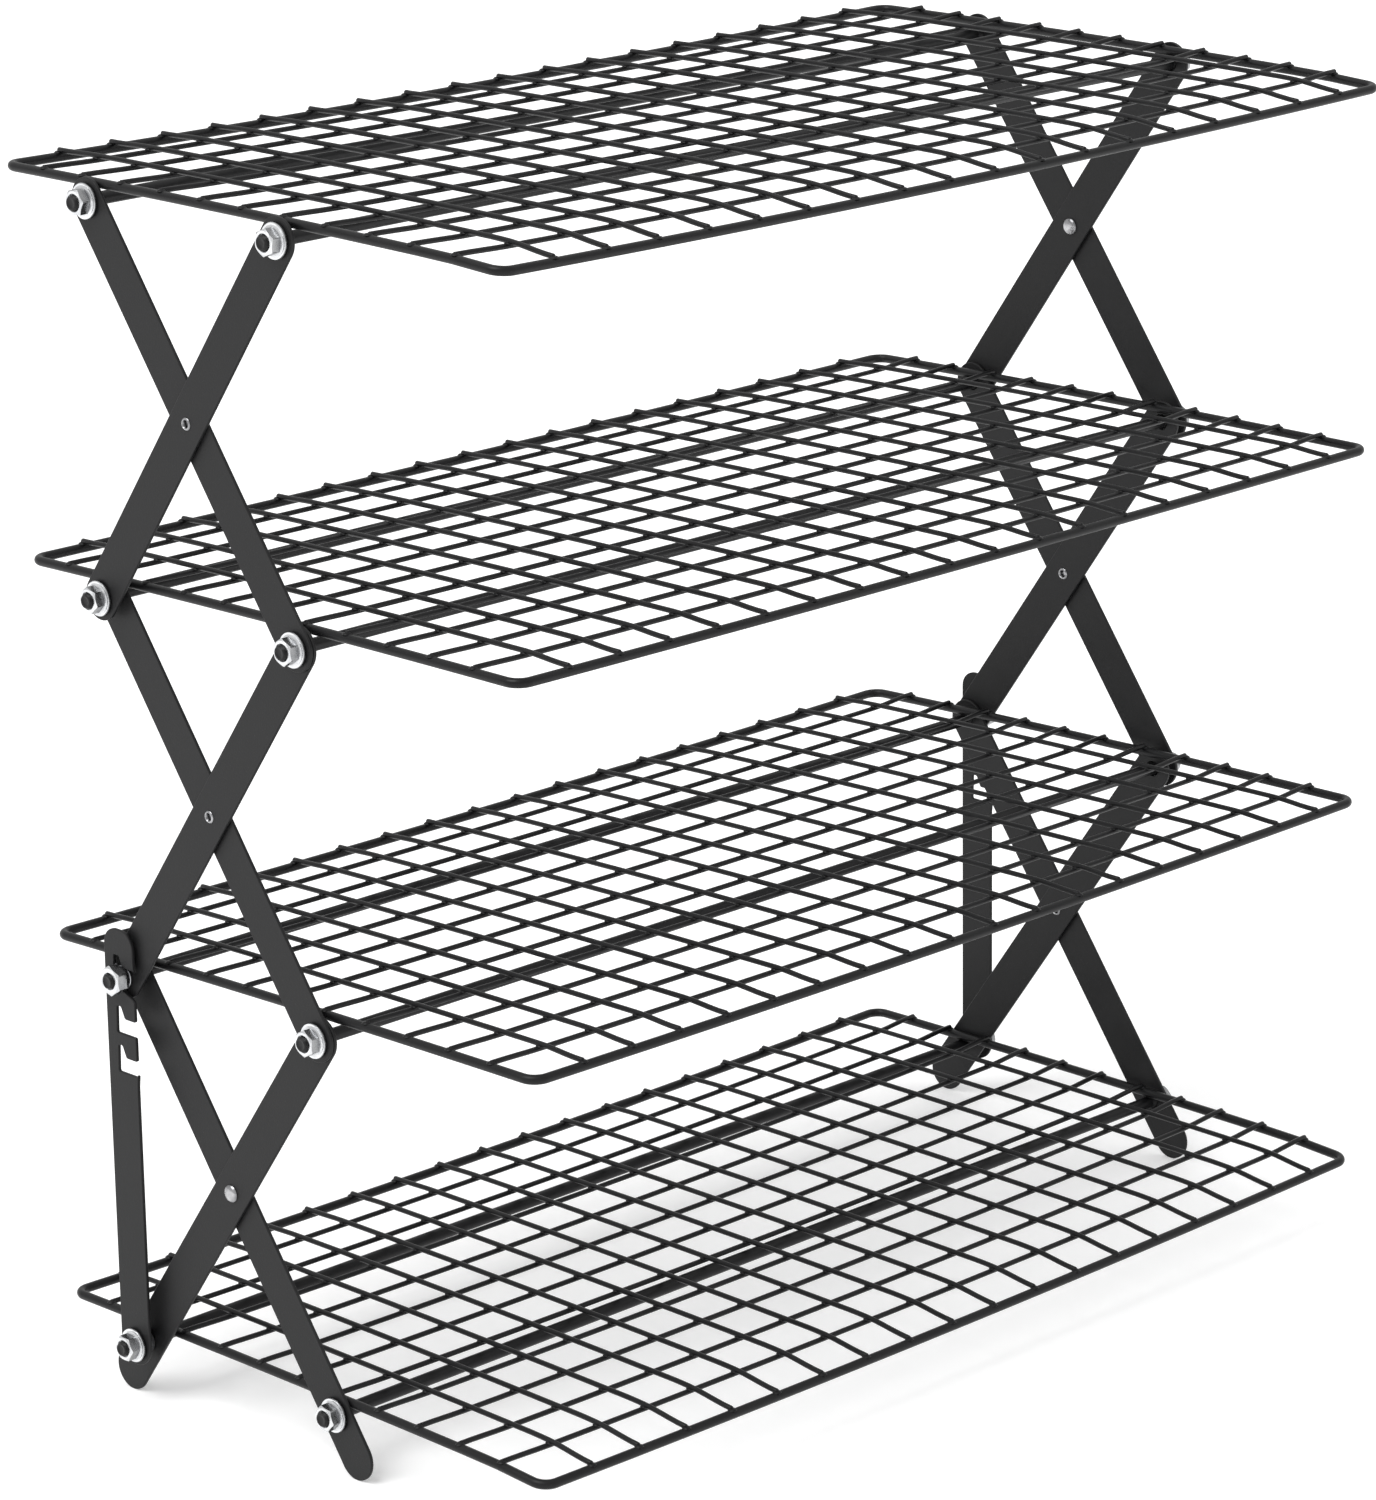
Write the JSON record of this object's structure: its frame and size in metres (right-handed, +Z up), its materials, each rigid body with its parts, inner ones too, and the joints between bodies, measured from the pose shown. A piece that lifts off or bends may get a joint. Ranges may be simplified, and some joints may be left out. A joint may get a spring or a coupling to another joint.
{
  "type": "folding cooling rack",
  "caption": "Folding tiered wire cooling rack: welded wire shelves on side scissor arms, with hooked latch bars that hold it open.",
  "frame": {"origin": "on the floor under the middle of the rack's bounding box", "axes": "+X along the shelves towards the right end, +Y towards the back, where the latch bars stand, +Z up"},
  "size_m": [0.4304, 0.2356, 0.416],
  "materials": {
    "coated_wire": "satin black non-stick coating over welded steel wire",
    "coated_rod": "satin black coating over steel rod with rolled threads",
    "coated_plate": "fine matt-satin black powder coat over steel strip",
    "zinc_nut": "bright zinc plating",
    "zinc_spacer": "bright zinc plating",
    "rivet_steel": "plated steel, slightly dulled"
  },
  "bodies": {
    "base": {"shelf_1": "coated_wire", "rear_rod_1": "coated_rod", "rear_nut_1_left": "zinc_nut", "rear_nut_1_right": "zinc_nut", "rear_spacer_1_left": "zinc_spacer", "rear_spacer_1_right": "zinc_spacer"},
    "lower_rear_arms": {"lower_rear_arm_left": "coated_plate", "lower_rear_arm_right": "coated_plate", "lower_rivet_left": "rivet_steel", "lower_rivet_right": "rivet_steel", "front_rod_2": "coated_rod", "front_nut_2_left": "zinc_nut", "front_nut_2_right": "zinc_nut", "front_spacer_2_right": "zinc_spacer"},
    "lower_front_arms": {"lower_front_arm_left": "coated_plate", "lower_front_arm_right": "coated_plate", "front_rod_1": "coated_rod", "front_nut_1_left": "zinc_nut", "front_nut_1_right": "zinc_nut"},
    "second_tier": {"shelf_2": "coated_wire", "rear_rod_2": "coated_rod", "rear_nut_2_left": "zinc_nut", "rear_nut_2_right": "zinc_nut", "rear_spacer_2_left": "zinc_spacer", "latch_washer_left": "zinc_spacer", "latch_washer_right": "zinc_spacer"},
    "middle_rear_arms": {"middle_rear_arm_left": "coated_plate", "middle_rear_arm_right": "coated_plate", "middle_rivet_left": "rivet_steel", "middle_rivet_right": "rivet_steel", "front_rod_3": "coated_rod", "front_nut_3_left": "zinc_nut", "front_nut_3_right": "zinc_nut", "front_spacer_3_right": "zinc_spacer"},
    "middle_front_arms": {"middle_front_arm_left": "coated_plate", "middle_front_arm_right": "coated_plate"},
    "third_tier": {"shelf_3": "coated_wire", "rear_rod_3": "coated_rod", "rear_nut_3_left": "zinc_nut", "rear_nut_3_right": "zinc_nut", "rear_spacer_3_left": "zinc_spacer"},
    "upper_rear_arms": {"upper_rear_arm_left": "coated_plate", "upper_rear_arm_right": "coated_plate", "upper_rivet_left": "rivet_steel", "upper_rivet_right": "rivet_steel", "front_rod_4": "coated_rod", "front_nut_4_left": "zinc_nut", "front_nut_4_right": "zinc_nut"},
    "upper_front_arms": {"upper_front_arm_left": "coated_plate", "upper_front_arm_right": "coated_plate"},
    "top_tier": {"shelf_4": "coated_wire", "rear_rod_4": "coated_rod", "rear_nut_4_left": "zinc_nut", "rear_nut_4_right": "zinc_nut"},
    "latch_left": {"latch_bar_left": "coated_plate"},
    "latch_right": {"latch_bar_right": "coated_plate"}
  },
  "joints": [
    {"name": "fold", "type": "hinge", "parent": "base", "child": "lower_rear_arms", "pos_m": [0, 0.072, 0.02023], "axis": [1, 0, 0], "range_deg": [0, 47]},
    {"name": "lower_cross", "type": "hinge", "parent": "lower_rear_arms", "child": "lower_front_arms", "pos_m": [0, 0.0254, 0.08483], "axis": [1, 0, 0], "range_deg": [-94, 0]},
    {"name": "second_tier_level", "type": "hinge", "parent": "lower_front_arms", "child": "second_tier", "pos_m": [0, 0.072, 0.14943], "axis": [1, 0, 0], "range_deg": [0, 47]},
    {"name": "middle_swing", "type": "hinge", "parent": "second_tier", "child": "middle_rear_arms", "pos_m": [0, 0.072, 0.14943], "axis": [1, 0, 0], "range_deg": [0, 47]},
    {"name": "middle_cross", "type": "hinge", "parent": "middle_rear_arms", "child": "middle_front_arms", "pos_m": [0, 0.0254, 0.21403], "axis": [1, 0, 0], "range_deg": [-94, 0]},
    {"name": "third_tier_level", "type": "hinge", "parent": "middle_front_arms", "child": "third_tier", "pos_m": [0, 0.072, 0.27863], "axis": [1, 0, 0], "range_deg": [0, 47]},
    {"name": "upper_swing", "type": "hinge", "parent": "third_tier", "child": "upper_rear_arms", "pos_m": [0, 0.072, 0.27863], "axis": [1, 0, 0], "range_deg": [0, 47]},
    {"name": "upper_cross", "type": "hinge", "parent": "upper_rear_arms", "child": "upper_front_arms", "pos_m": [0, 0.0254, 0.34323], "axis": [1, 0, 0], "range_deg": [-94, 0]},
    {"name": "top_tier_level", "type": "hinge", "parent": "upper_front_arms", "child": "top_tier", "pos_m": [0, 0.072, 0.40783], "axis": [1, 0, 0], "range_deg": [0, 47]},
    {"name": "latch_left_swing", "type": "hinge", "parent": "base", "child": "latch_left", "pos_m": [0, 0.072, 0.02023], "axis": [1, 0, 0], "range_deg": [-89.3, 0]},
    {"name": "latch_right_swing", "type": "hinge", "parent": "base", "child": "latch_right", "pos_m": [0, 0.072, 0.02023], "axis": [1, 0, 0], "range_deg": [-89.3, 0]}
  ],
  "couplings": [
    {"joint": "lower_cross", "follows": "fold", "ratio": -2},
    {"joint": "second_tier_level", "follows": "fold", "ratio": 1},
    {"joint": "middle_swing", "follows": "fold", "ratio": 1},
    {"joint": "middle_cross", "follows": "fold", "ratio": -2},
    {"joint": "third_tier_level", "follows": "fold", "ratio": 1},
    {"joint": "upper_swing", "follows": "fold", "ratio": 1},
    {"joint": "upper_cross", "follows": "fold", "ratio": -2},
    {"joint": "top_tier_level", "follows": "fold", "ratio": 1},
    {"joint": "latch_left_swing", "follows": "fold", "ratio": -1.9},
    {"joint": "latch_right_swing", "follows": "fold", "ratio": -1.9}
  ]
}
